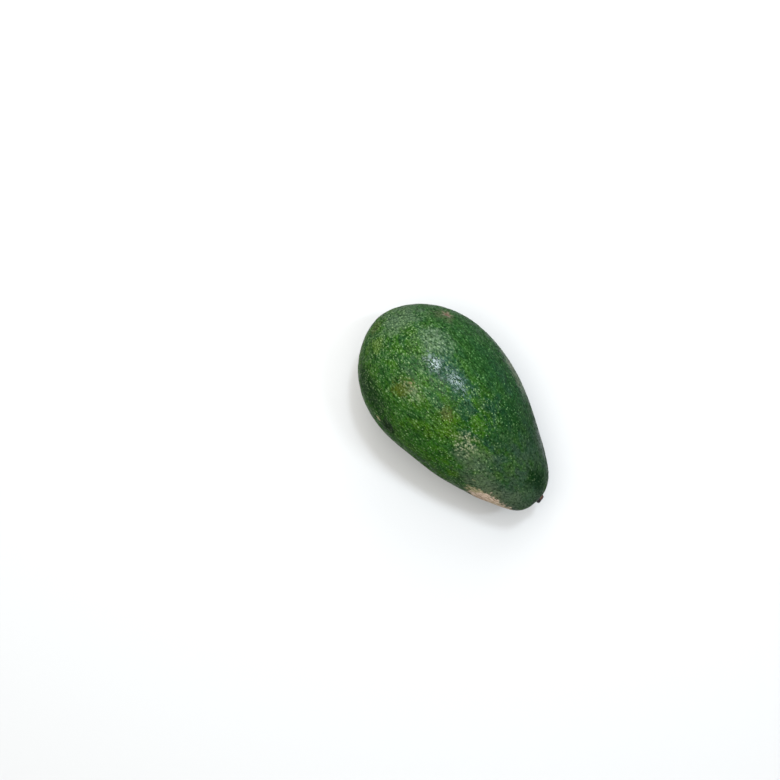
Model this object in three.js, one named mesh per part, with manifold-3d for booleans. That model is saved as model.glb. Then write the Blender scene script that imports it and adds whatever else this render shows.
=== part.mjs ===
// A green-skinned avocado lying on its side, in millimetres, +Z up.
// It has two pieces: the fruit, and the short dry stub of stalk left in its narrow end.
// +X runs from the broad blossom end to the narrow stem end. The origin is at the middle of the
// whole thing's footprint box, on the surface that it lies on.
import * as THREE from "three";
import { mergeVertices } from "three/addons/utils/BufferGeometryUtils.js";
import Module from "manifold-3d";

// Driving dimensions of the fruit
const FRUIT_LENGTH = 122.6;
const WAIST_WIDTH = 69.2;
const WAIST_HEIGHT = 67;
const LYING_TILT = THREE.MathUtils.degToRad(7.5); // the stem end lies lower, where the fruit balances
const FLAT_DEPTH = 0.5; // how much of the belly the small flat resting spot takes off

// How full the outline is along the fruit, as a polynomial in x from -1 (blossom) to 1 (stem).
// It multiplies an ellipse, so both ends stay round.
const FULLNESS = [1, -0.282, -0.072, -0.061, 0.122, 0.335];
// How far the middle line wanders sideways (+Y), as a polynomial in x
const SIDEWAYS = [0.3, 0.35, -2, -0.6, 1.3];
const BELLY_SAG = 2.2; // how far the middle line sags towards the belly
const BELLY_SHIFT = 0.3; // moves the deepest sag towards the blossom end

// Soft lengthwise ridges that run out of the stem end and fade before the belly
const RIDGE_COUNT = 5;
const RIDGE_HEIGHT = 0.35;
const RIDGE_TURN = 0.9;

// Wide shallow hollows and swellings: where along x, the angle round the body, reach and height
const SWELLINGS = [
  { along: 0.6, angle: 212, reach: 12, height: 0.45 },
  { along: 0.84, angle: 182, reach: 15, height: -1.2 },
  { along: 0.03, angle: 176, reach: 22, height: -0.9 },
  { along: 0.05, angle: 35, reach: 17, height: -0.55 },
  { along: -0.45, angle: 150, reach: 18, height: -0.5 },
  { along: 0.4, angle: 120, reach: 15, height: 0.45 },
  { along: -0.3, angle: 300, reach: 20, height: 0.5 },
  { along: 0.25, angle: 265, reach: 14, height: -0.4 },
];

// The pebbled skin, coarser than on the real fruit
const PEBBLE_COUNT = 1150;
const PEBBLE_REACH = 2.7;
const PEBBLE_HEIGHT = 0.38;
const PEBBLE_STRAY = 0.32; // how far a pebble strays from the even pattern, in steps of it
const SKIN_DETAIL = 22; // cuts along each edge of the icosahedron that the skin starts from

// The blossom scar: a small corky dimple off the middle of the broad end
const SCAR_ALONG = -0.683;
const SCAR_ANGLE = 28.2;
const SCAR_REACH = 3.6;
const SCAR_DEPTH = 0.55;

// The stem end: a shallow funnel, and in it a socket for the stub
const STEM_OFFSET = 0.075; // sideways place of the stalk, as a share of the half width
const STEM_TURN = THREE.MathUtils.degToRad(12); // the stalk leans towards +Y
const FUNNEL_REACH = 8;
const FUNNEL_DEPTH = 1.1;
const SOCKET_DEPTH = 2.6; // below the skin, before the funnel is pressed in
const SOCKET_GAP = 0.3;
const SOCKET_RISE = 6; // how far the cutting shape stands out of the skin

// The stub of stalk, as [radius, height above the bottom of its socket]
const STUB_PROFILE = [
  [0, 0],
  [1.7, 0],
  [2.2, 0.4],
  [2.35, 1.2],
  [2.7, 1.8],
  [2.75, 2.4],
  [2.4, 2.8],
  [2.2, 3.3],
  [2.3, 3.9],
  [2.2, 4.4],
  [1.8, 4.6],
  [1.1, 4.35],
  [0, 4.25],
];
const STUB_SIDES = 20;
const STUB_OVAL = 0.07; // how far the stub is from round
const STUB_CREASE = 0.05; // depth of its dried creases, as a share of the radius
const STUB_SLANT = 0.14; // how much the broken tip slants

const wasm = await Module();
wasm.setup();

function polynomial(terms, x) {
  return terms.reduceRight((sum, term) => sum * x + term, 0);
}

// Even, repeatable random numbers from 0 to 1
function randomNumbers(seed) {
  let state = seed;
  return () => {
    state = (state * 1664525 + 1013904223) % 4294967296;
    return state / 4294967296;
  };
}

// 1 at the centre of a round patch, falling smoothly to 0 at its edge
function falloff(distance, reach) {
  return distance < reach ? (1 + Math.cos((Math.PI * distance) / reach)) / 2 : 0;
}

// The point of the smooth body, along its own axis, that a direction from the centre stands for
function bodyPoint(direction) {
  const x = direction.x;
  const full = polynomial(FULLNESS, x);
  const sag = BELLY_SAG * (1 - x * x) * (1 - BELLY_SHIFT * x);
  return new THREE.Vector3(
    (x * FRUIT_LENGTH) / 2,
    (direction.y * full * WAIST_WIDTH) / 2 + polynomial(SIDEWAYS, x),
    (direction.z * full * WAIST_HEIGHT) / 2 - sag,
  );
}

// The direction for a place given along the body and by the angle round it from +Y
function directionAt(along, degrees) {
  const angle = THREE.MathUtils.degToRad(degrees);
  const round = Math.sqrt(1 - along * along);
  return new THREE.Vector3(along, Math.cos(angle) * round, Math.sin(angle) * round);
}

// Centres of the skin's pebbles: an even spiral over the body, each moved a little at random
function pebbleCentres() {
  const random = randomNumbers(11);
  const golden = Math.PI * (3 - Math.sqrt(5));
  const step = Math.sqrt((4 * Math.PI) / PEBBLE_COUNT);
  return Array.from({ length: PEBBLE_COUNT }, (_, i) => {
    const along = 1 - (2 * i + 1) / PEBBLE_COUNT;
    const direction = directionAt(along, THREE.MathUtils.radToDeg(golden * i));
    const stray = new THREE.Vector3(random() - 0.5, random() - 0.5, random() - 0.5);
    direction.addScaledVector(stray, 2 * PEBBLE_STRAY * step).normalize();
    return bodyPoint(direction);
  });
}

// Height of the pebbled relief at a point of the body
function pebbleRelief(point, centres) {
  let nearest = Infinity;
  for (const centre of centres) nearest = Math.min(nearest, centre.distanceToSquared(point));
  return PEBBLE_HEIGHT * falloff(Math.sqrt(nearest), PEBBLE_REACH);
}

// Height of everything wider than a pebble: ridges, swellings and the blossom scar
function broadRelief(point, direction) {
  const round = Math.atan2(direction.z, direction.y);
  const nearStem = THREE.MathUtils.smoothstep(direction.x, 0.1, 0.8) * Math.hypot(direction.y, direction.z);
  let height = RIDGE_HEIGHT * nearStem * Math.cos(RIDGE_COUNT * round + RIDGE_TURN);
  for (const swelling of SWELLINGS) {
    const centre = bodyPoint(directionAt(swelling.along, swelling.angle));
    height += swelling.height * falloff(centre.distanceTo(point), swelling.reach);
  }
  const scar = bodyPoint(directionAt(SCAR_ALONG, SCAR_ANGLE));
  return height - SCAR_DEPTH * falloff(scar.distanceTo(point), SCAR_REACH);
}

// Where the stalk grows: its place on the smooth body and the way it points
function stemSeat() {
  const direction = new THREE.Vector3(Math.sqrt(1 - STEM_OFFSET ** 2), STEM_OFFSET, 0);
  const axis = new THREE.Vector3(Math.cos(STEM_TURN), Math.sin(STEM_TURN), 0);
  return { point: bodyPoint(direction), axis };
}

// How far the funnel round the stalk presses the skin in
function funnelDepth(point, seat) {
  const across = point.clone().sub(seat.point);
  across.addScaledVector(seat.axis, -across.dot(seat.axis));
  return point.x > 0 ? FUNNEL_DEPTH * falloff(across.length(), FUNNEL_REACH) : 0;
}

function skinGeometry() {
  const ball = new THREE.IcosahedronGeometry(1, SKIN_DETAIL);
  ball.deleteAttribute("normal");
  ball.deleteAttribute("uv");
  const skin = mergeVertices(ball, 1e-5);
  const place = skin.getAttribute("position");
  const directions = Array.from({ length: place.count }, (_, i) =>
    new THREE.Vector3().fromBufferAttribute(place, i).normalize(),
  );
  const points = directions.map(bodyPoint);
  points.forEach((point, i) => place.setXYZ(i, ...point));
  skin.computeVertexNormals();
  const normals = skin.getAttribute("normal");
  const centres = pebbleCentres();
  const seat = stemSeat();
  points.forEach((point, i) => {
    const outward = new THREE.Vector3().fromBufferAttribute(normals, i);
    const funnel = funnelDepth(point, seat);
    const smooth = 1 - funnel / FUNNEL_DEPTH;
    const height = broadRelief(point, directions[i]) + pebbleRelief(point, centres) * smooth;
    point.addScaledVector(outward, height).addScaledVector(seat.axis, -funnel);
    place.setXYZ(i, ...point);
  });
  skin.deleteAttribute("normal");
  return skin;
}

// A turned shape of the stub's profile, made wider all round by a gap, on the stalk's axis
function stubShape(profile, gap) {
  const turned = new THREE.LatheGeometry(
    profile.map(([radius, height]) => new THREE.Vector2(radius > 0 ? radius + gap : 0, height)),
    STUB_SIDES,
  );
  turned.deleteAttribute("normal");
  turned.deleteAttribute("uv");
  const shape = mergeVertices(turned, 1e-4);
  const seat = stemSeat();
  const upright = new THREE.Vector3(0, 1, 0);
  const base = seat.point.clone().addScaledVector(seat.axis, -SOCKET_DEPTH);
  shape.applyQuaternion(new THREE.Quaternion().setFromUnitVectors(upright, seat.axis));
  shape.translate(...base);
  return shape;
}

// The stub itself: the turned shape pressed oval, creased by drying and broken off at a slant
function stubGeometry() {
  const stub = stubShape(STUB_PROFILE, 0);
  const place = stub.getAttribute("position");
  const seat = stemSeat();
  const base = seat.point.clone().addScaledVector(seat.axis, -SOCKET_DEPTH);
  const side = new THREE.Vector3(-seat.axis.y, seat.axis.x, 0);
  for (let i = 0; i < place.count; i++) {
    const point = new THREE.Vector3().fromBufferAttribute(place, i).sub(base);
    const height = point.dot(seat.axis);
    const across = point.clone().addScaledVector(seat.axis, -height);
    const round = Math.atan2(across.z, across.dot(side));
    const free = THREE.MathUtils.smoothstep(height, SOCKET_DEPTH - 0.5, SOCKET_DEPTH + 0.6);
    const dried = 1 - free * (STUB_OVAL * Math.cos(2 * round) + STUB_CREASE * (1 + Math.cos(7 * round)));
    const slant = free * STUB_SLANT * across.dot(side) * (height / SOCKET_DEPTH - 1);
    point.copy(across.multiplyScalar(dried)).addScaledVector(seat.axis, height + slant).add(base);
    place.setXYZ(i, ...point);
  }
  return stub;
}

// The room cut for the stub: its own outline up to the skin, then straight out
function socketGeometry() {
  const [widest] = STUB_PROFILE.map(([radius]) => radius).sort((a, b) => b - a);
  const profile = [
    [0, -SOCKET_GAP],
    [STUB_PROFILE[1][0], -SOCKET_GAP],
    [STUB_PROFILE[2][0], STUB_PROFILE[2][1]],
    [STUB_PROFILE[3][0], STUB_PROFILE[3][1]],
    [widest, STUB_PROFILE[4][1] - SOCKET_GAP],
    [widest, SOCKET_RISE],
    [0, SOCKET_RISE],
  ];
  return stubShape(profile, SOCKET_GAP);
}

function toSolid(geometry) {
  return new wasm.Manifold(
    new wasm.Mesh({
      numProp: 3,
      vertProperties: new Float32Array(geometry.getAttribute("position").array),
      triVerts: new Uint32Array(geometry.index.array),
    }),
  );
}

function toGeometry(solid) {
  const mesh = solid.getMesh();
  return new THREE.BufferGeometry()
    .setAttribute("position", new THREE.BufferAttribute(mesh.vertProperties, 3))
    .setIndex(new THREE.BufferAttribute(mesh.triVerts, 1));
}

// Turns both pieces as they lie, then sets them on the surface with the origin under their middle
function layDown(fruit, stub) {
  for (const geometry of [fruit, stub]) geometry.rotateY(LYING_TILT);
  fruit.computeBoundingBox();
  const floor = fruit.boundingBox.min.z + FLAT_DEPTH;
  const place = fruit.getAttribute("position");
  for (let i = 0; i < place.count; i++) place.setZ(i, Math.max(place.getZ(i), floor));
  fruit.computeBoundingBox();
  stub.computeBoundingBox();
  const whole = fruit.boundingBox.clone().union(stub.boundingBox);
  const middle = whole.getCenter(new THREE.Vector3());
  for (const geometry of [fruit, stub]) geometry.translate(-middle.x, -middle.y, -floor);
}

const skinFinish = new THREE.MeshStandardMaterial({ color: 0x2f5a24, roughness: 0.45, metalness: 0 });
const stubFinish = new THREE.MeshStandardMaterial({ color: 0x4a2f20, roughness: 0.85, metalness: 0 });

function avocado() {
  const fruit = toGeometry(toSolid(skinGeometry()).subtract(toSolid(socketGeometry())));
  const stub = stubGeometry();
  layDown(fruit, stub);
  const group = new THREE.Group();
  for (const [name, geometry, finish] of [
    ["fruit", fruit, skinFinish],
    ["stem_stub", stub, stubFinish],
  ]) {
    const mesh = new THREE.Mesh(geometry, finish);
    mesh.name = name;
    group.add(mesh);
  }
  return group;
}

export default avocado();
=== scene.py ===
"""A green avocado lying on its side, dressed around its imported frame.

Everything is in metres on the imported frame's axes: +X from the blossom end to the stem end, +Z up.
The fruit's own sizes are in millimetres, and are scaled when a mesh or a pattern is placed.
"""

import logging
import math
import random
from collections.abc import Sequence
from dataclasses import dataclass
from enum import Enum
from functools import reduce

import bmesh
import bpy
from mathutils import Matrix, Vector, kdtree, noise


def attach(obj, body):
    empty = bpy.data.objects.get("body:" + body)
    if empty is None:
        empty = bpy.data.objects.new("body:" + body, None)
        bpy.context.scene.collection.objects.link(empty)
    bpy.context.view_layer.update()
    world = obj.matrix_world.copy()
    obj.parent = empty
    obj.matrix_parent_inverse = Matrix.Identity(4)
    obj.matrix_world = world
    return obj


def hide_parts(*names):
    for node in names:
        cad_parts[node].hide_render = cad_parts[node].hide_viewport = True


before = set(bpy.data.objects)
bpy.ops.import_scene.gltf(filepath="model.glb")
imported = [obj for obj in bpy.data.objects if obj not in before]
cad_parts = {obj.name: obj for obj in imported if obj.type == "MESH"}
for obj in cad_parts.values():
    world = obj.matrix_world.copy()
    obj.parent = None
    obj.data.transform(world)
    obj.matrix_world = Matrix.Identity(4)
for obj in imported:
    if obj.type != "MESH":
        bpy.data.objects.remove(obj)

log = logging.getLogger("avocado")

MM = 0.001
ROOT = "root"

Colour = tuple[float, float, float]


def smoothstep(low: float, high: float, x: float) -> float:
    """Rises smoothly from 0 at low to 1 at high, or falls if low is the greater.

    Args:
        low: Where the result is 0.
        high: Where the result is 1.
        x: The number to place between them.

    Returns:
        A number from 0 to 1.
    """
    t = min(max((x - low) / (high - low), 0.0), 1.0)
    return t * t * (3 - 2 * t)


def falloff(distance: float, reach: float) -> float:
    """Gives 1 at the centre of a round patch, falling smoothly to 0 at its edge.

    Args:
        distance: Distance from the patch's centre.
        reach: The patch's radius.

    Returns:
        A number from 0 to 1.
    """
    return (1 + math.cos(math.pi * distance / reach)) / 2 if distance < reach else 0.0


def polynomial(terms: Sequence[float], x: float) -> float:
    """Sums a polynomial whose terms are given lowest power first.

    Args:
        terms: The polynomial's terms.
        x: Where it is read.

    Returns:
        The polynomial's value.
    """
    total = 0.0
    for term in reversed(terms):
        total = total * x + term
    return total


def finished_object(name: str, bm: bmesh.types.BMesh) -> bpy.types.Object:
    """Turns a bmesh into a smooth-shaded object at the origin.

    Args:
        name: The piece's name.
        bm: The mesh to keep, which is freed.

    Returns:
        The new object, linked to the scene.
    """
    mesh = bpy.data.meshes.new(name)
    bm.to_mesh(mesh)
    bm.free()
    mesh.shade_smooth()
    made = bpy.data.objects.new(name, mesh)
    bpy.context.scene.collection.objects.link(made)
    return made


# The fruit's form


@dataclass(frozen=True)
class Swelling:
    """A wide shallow swelling or hollow in the fruit's body.

    Attributes:
        along: Where it is along the fruit, from -1 at the blossom end to 1 at the stem end.
        angle: Where it is round the body, in degrees from +Y.
        reach: Its radius in mm.
        height: How far it stands out in mm, or goes in if it is negative.
    """

    along: float
    angle: float
    reach: float
    height: float


@dataclass(frozen=True)
class BodyForm:
    """The fruit's smooth outline, and the way it lies.

    Attributes:
        length: From end to end in mm.
        waist_width: Width of the ellipse that the fullness multiplies, in mm.
        waist_height: Height of that ellipse in mm.
        fullness: How full the outline is along the fruit, as a polynomial.
        sideways: How far the middle line wanders towards +Y in mm, as a polynomial.
        belly_sag: How far the middle line sags towards the belly in mm.
        belly_shift: Moves the deepest sag towards the blossom end.
        lying_tilt: How far the stem end lies lower, in radians.
        set_down: The shift that puts the fruit on its surface, in mm.
    """

    length: float = 122.6
    waist_width: float = 69.2
    waist_height: float = 67.0
    fullness: tuple[float, ...] = (1, -0.282, -0.072, -0.061, 0.122, 0.335)
    sideways: tuple[float, ...] = (0.3, 0.35, -2.0, -0.6, 1.3)
    belly_sag: float = 2.2
    belly_shift: float = 0.3
    lying_tilt: float = math.radians(7.5)
    set_down: tuple[float, float, float] = (-0.8136, -0.2009, 35.153)

    def direction(self, along: float, angle: float) -> Vector:
        """Gives the direction from the centre for a place on the body.

        Args:
            along: From -1 at the blossom end to 1 at the stem end.
            angle: Degrees round the body from +Y.

        Returns:
            A unit vector.
        """
        ring = math.sqrt(1 - along * along)
        turn = math.radians(angle)
        return Vector((along, math.cos(turn) * ring, math.sin(turn) * ring))

    def point(self, direction: Vector) -> Vector:
        """Gives the point of the smooth body that a direction stands for.

        Args:
            direction: A unit vector from the centre.

        Returns:
            The point in mm, along the fruit's own axis.
        """
        x = direction.x
        full = polynomial(self.fullness, x)
        sag = self.belly_sag * (1 - x * x) * (1 - self.belly_shift * x)
        return Vector((
            x * self.length / 2,
            direction.y * full * self.waist_width / 2 + polynomial(self.sideways, x),
            direction.z * full * self.waist_height / 2 - sag,
        ))

    def on_body(self, along: float, angle: float) -> Vector:
        """Gives a place on the smooth body in mm, along the fruit's own axis.

        Args:
            along: From -1 at the blossom end to 1 at the stem end.
            angle: Degrees round the body from +Y.

        Returns:
            The place.
        """
        return self.point(self.direction(along, angle))

    def lying(self) -> Matrix:
        """Gives the move from the fruit's own axis in mm to where it lies in metres."""
        tilt = Matrix.Rotation(self.lying_tilt, 4, "Y")
        return Matrix.Scale(MM, 4) @ Matrix.Translation(self.set_down) @ tilt

    def place(self, along: float, angle: float) -> Vector:
        """Gives a place on the skin of the lying fruit, in metres.

        Args:
            along: From -1 at the blossom end to 1 at the stem end.
            angle: Degrees round the body from +Y.

        Returns:
            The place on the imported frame's axes.
        """
        return self.lying() @ self.on_body(along, angle)


@dataclass(frozen=True)
class StemSeat:
    """Where the stalk grows out of the fruit.

    Attributes:
        offset: Its sideways place, as a share of the half width.
        turn: How far the stalk leans towards +Y, in radians.
        socket_depth: How far below the skin the stub starts, in mm.
    """

    offset: float = 0.075
    turn: float = math.radians(12)
    socket_depth: float = 2.6

    def point(self, form: BodyForm) -> Vector:
        """Gives the stalk's place on the smooth body in mm."""
        return form.point(Vector((math.sqrt(1 - self.offset**2), self.offset, 0.0)))

    def axis(self) -> Vector:
        """Gives the way that the stalk points, along the fruit's own axis."""
        return Vector((math.cos(self.turn), math.sin(self.turn), 0.0))

    def from_stub(self, form: BodyForm) -> Matrix:
        """Gives the move from an upright stub in mm to the lying fruit in metres."""
        base = self.point(form) - self.axis() * self.socket_depth
        upright = Vector((0, 0, 1)).rotation_difference(self.axis()).to_matrix().to_4x4()
        return form.lying() @ Matrix.Translation(base) @ upright


@dataclass(frozen=True)
class BlossomScar:
    """The small star-shaped scar that the flower left, in a shallow dimple.

    Attributes:
        along: Where it is along the fruit, from -1 at the blossom end to 1 at the stem end.
        angle: Where it is round the body, in degrees from +Y.
        reach: Radius of its dimple in mm.
        depth: Depth of its dimple in mm.
        arms: How many arms its star has.
    """

    along: float = -0.683
    angle: float = 28.2
    reach: float = 3.6
    depth: float = 0.55
    arms: int = 5


# Shader nodes written as expressions


class Nodes:
    """Adds nodes to one material and joins them up."""

    def __init__(self, name: str) -> None:
        """Makes a material with only its shader and its output.

        Args:
            name: The material's name.
        """
        self.material = bpy.data.materials.new(name)
        self.material.use_nodes = True
        self.tree = self.material.node_tree
        self.shader = self.tree.nodes["Principled BSDF"]

    def add(
        self, kind: str, settings: dict[str, object], inputs: dict[str | int, object]
    ) -> bpy.types.Node:
        """Adds one node, sets it up, and fills or links its sockets.

        Args:
            kind: The node's type.
            settings: The node's own properties, which are set first.
            inputs: What goes into each socket, by its name or number.

        Returns:
            The new node.
        """
        node = self.tree.nodes.new(kind)
        for name, setting in settings.items():
            setattr(node, name, setting)
        for key, given in inputs.items():
            self.feed(node.inputs[key], given)
        return node

    def feed(self, socket: bpy.types.NodeSocket, given: object) -> None:
        """Links a socket, or sets its own value.

        Args:
            socket: The socket to fill.
            given: A Value, a socket, a number or a tuple of numbers.
        """
        if isinstance(given, Value):
            self.tree.links.new(given.socket, socket)
        elif isinstance(given, bpy.types.NodeSocket):
            self.tree.links.new(given, socket)
        elif socket.type == "RGBA":
            socket.default_value = (*given, 1.0)
        else:
            socket.default_value = given

    def position(self) -> bpy.types.NodeSocket:
        """Gives the place on the object in mm, from its Object coordinates."""
        texture = self.add("ShaderNodeTexCoord", {}, {})
        return self.vector("SCALE", texture.outputs["Object"], scale=1 / MM)

    def vector(
        self, operation: str, first: object, second: object = (0.0, 0.0, 0.0), scale: float = 1.0
    ) -> bpy.types.NodeSocket:
        """Does one sum on vectors.

        Args:
            operation: The Vector Math node's operation.
            first: The first vector.
            second: The second vector, if the operation has one.
            scale: The number for SCALE.

        Returns:
            The resulting vector's socket.
        """
        inputs = {0: first, 1: second, 3: scale}
        return self.add("ShaderNodeVectorMath", {"operation": operation}, inputs).outputs["Vector"]

    def measure(self, operation: str, first: object, second: object = (0.0, 0.0, 0.0)) -> "Value":
        """Takes a number from vectors, such as LENGTH or DOT_PRODUCT.

        Args:
            operation: The Vector Math node's operation.
            first: The first vector.
            second: The second vector, if the operation has one.

        Returns:
            The number.
        """
        node = self.add("ShaderNodeVectorMath", {"operation": operation}, {0: first, 1: second})
        return Value(self, node.outputs["Value"])

    def noise(
        self, place: object, size: float, detail: float = 2.0, roughness: float = 0.5
    ) -> "Value":
        """Gives cloudy noise from 0 to 1, mostly near 0.5.

        Args:
            place: Coordinates in mm.
            size: The size of its largest patches in mm.
            detail: How many finer layers it has.
            roughness: How strong the finer layers are.

        Returns:
            The noise.
        """
        inputs = {"Vector": place, "Scale": 1 / size, "Detail": detail, "Roughness": roughness}
        return Value(self, self.add("ShaderNodeTexNoise", {}, inputs).outputs["Fac"])

    def wander(self, place: object, size: float, amount: float) -> bpy.types.NodeSocket:
        """Moves coordinates about by a smooth noise, so that a pattern isn't even.

        Args:
            place: Coordinates in mm.
            size: The size of the noise's patches in mm.
            amount: How far it moves them in mm.

        Returns:
            The moved coordinates.
        """
        cloud = self.add("ShaderNodeTexNoise", {}, {"Vector": place, "Scale": 1 / size, "Detail": 2.0})
        centred = self.vector("SUBTRACT", cloud.outputs["Color"], (0.5, 0.5, 0.5))
        return self.vector("ADD", place, self.vector("SCALE", centred, scale=2 * amount))

    def cells(self, place: object, size: float) -> tuple["Value", "Value"]:
        """Gives a pattern of cells round scattered points.

        Args:
            place: Coordinates in mm.
            size: The spacing of the points in mm.

        Returns:
            The distance to the nearest point in spacings, and a random number for each cell.
        """
        inputs = {"Vector": place, "Scale": 1 / size, "Randomness": 1.0}
        node = self.add("ShaderNodeTexVoronoi", {"feature": "F1"}, inputs)
        parts = self.add("ShaderNodeSeparateColor", {}, {"Color": node.outputs["Color"]})
        return Value(self, node.outputs["Distance"]), Value(self, parts.outputs[0])

    def blend(self, under: object, over: object, amount: object) -> bpy.types.NodeSocket:
        """Lays one colour over another.

        Args:
            under: The colour below.
            over: The colour above.
            amount: How much of the upper colour shows, from 0 to 1.

        Returns:
            The blended colour's socket.
        """
        settings = {"data_type": "RGBA", "clamp_factor": True}
        # The Mix node has sockets of one name for each data type, so its colours go by number
        node = self.add("ShaderNodeMix", settings, {0: amount, 6: under, 7: over})
        return node.outputs[2]

    def bump(self, height: "Value", depth: float, normal: object = None) -> bpy.types.NodeSocket:
        """Raises a fine relief on the surface.

        Args:
            height: The relief, from 0 to 1.
            depth: Its full height in mm.
            normal: A normal to build on, if there is one.

        Returns:
            The new normal's socket.
        """
        inputs = {"Height": height, "Distance": depth * MM, "Strength": 1.0}
        if normal is not None:
            inputs["Normal"] = normal
        return self.add("ShaderNodeBump", {}, inputs).outputs["Normal"]


@dataclass(frozen=True)
class Value:
    """A number in a material, with Python's operators adding the Math nodes.

    Attributes:
        nodes: The material's nodes.
        socket: The socket that holds the number.
    """

    nodes: Nodes
    socket: bpy.types.NodeSocket

    def math(self, operation: str, first: object, second: object = 0.0) -> "Value":
        """Does one sum.

        Args:
            operation: The Math node's operation.
            first: Its first number.
            second: Its second number.

        Returns:
            The result.
        """
        node = self.nodes.add("ShaderNodeMath", {"operation": operation}, {0: first, 1: second})
        return Value(self.nodes, node.outputs[0])

    def __add__(self, other: object) -> "Value":
        """Adds."""
        return self.math("ADD", self, other)

    def __radd__(self, other: object) -> "Value":
        """Adds to a plain number."""
        return self.math("ADD", other, self)

    def __sub__(self, other: object) -> "Value":
        """Subtracts."""
        return self.math("SUBTRACT", self, other)

    def __rsub__(self, other: object) -> "Value":
        """Subtracts from a plain number."""
        return self.math("SUBTRACT", other, self)

    def __mul__(self, other: object) -> "Value":
        """Multiplies."""
        return self.math("MULTIPLY", self, other)

    def __rmul__(self, other: object) -> "Value":
        """Multiplies a plain number."""
        return self.math("MULTIPLY", other, self)

    def at_least(self, other: object) -> "Value":
        """Gives the greater of two numbers."""
        return self.math("MAXIMUM", self, other)

    def ramp(self, low: object, high: object, start: float = 0.0, end: float = 1.0) -> "Value":
        """Goes smoothly from start at low to end at high, and stays level outside them.

        Args:
            low: Where the result is start.
            high: Where the result is end. It may be less than low.
            start: The result at low.
            end: The result at high.

        Returns:
            The ramped number.
        """
        inputs = {"Value": self, "From Min": low, "From Max": high, "To Min": start, "To Max": end}
        node = self.nodes.add("ShaderNodeMapRange", {"interpolation_type": "SMOOTHSTEP"}, inputs)
        return Value(self.nodes, node.outputs["Result"])


# The skin's finish


class MarkKind(Enum):
    """What a mark on the skin is."""

    CORK = "healed corky scuff, matt and fibrous"
    SPECKS = "crowd of pale specks"
    # Colour laid evenly: real stains, and also painted shade, painted shadow, painted sheen and painted
    # reflection
    STAIN_AND_PAINTED_LIGHT = "even change of colour"
    # Wax that shines, whose colour also carries a painted highlight and painted shade between its glints
    WAX_AND_PAINTED_HIGHLIGHT = "rubbed wax that shines more than the skin round it"


@dataclass(frozen=True)
class Mark:
    """One mark on the skin.

    Attributes:
        kind: What the mark is.
        along: Where it is along the fruit, from -1 at the blossom end to 1 at the stem end.
        angle: Where it is round the body, in degrees from +Y.
        reach: Half its length along the fruit in mm.
        breadth: Half its width across the fruit in mm.
        colour: Its colour in linear light.
        strength: How fully it covers the skin. Past 1, it is full further out.
        ragged: How broken its edge is, from 0 to about 2.
        grain: The size of the breaks in its edge in mm.
    """

    kind: MarkKind
    along: float
    angle: float
    reach: float
    breadth: float
    colour: Colour
    strength: float
    ragged: float
    grain: float


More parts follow.
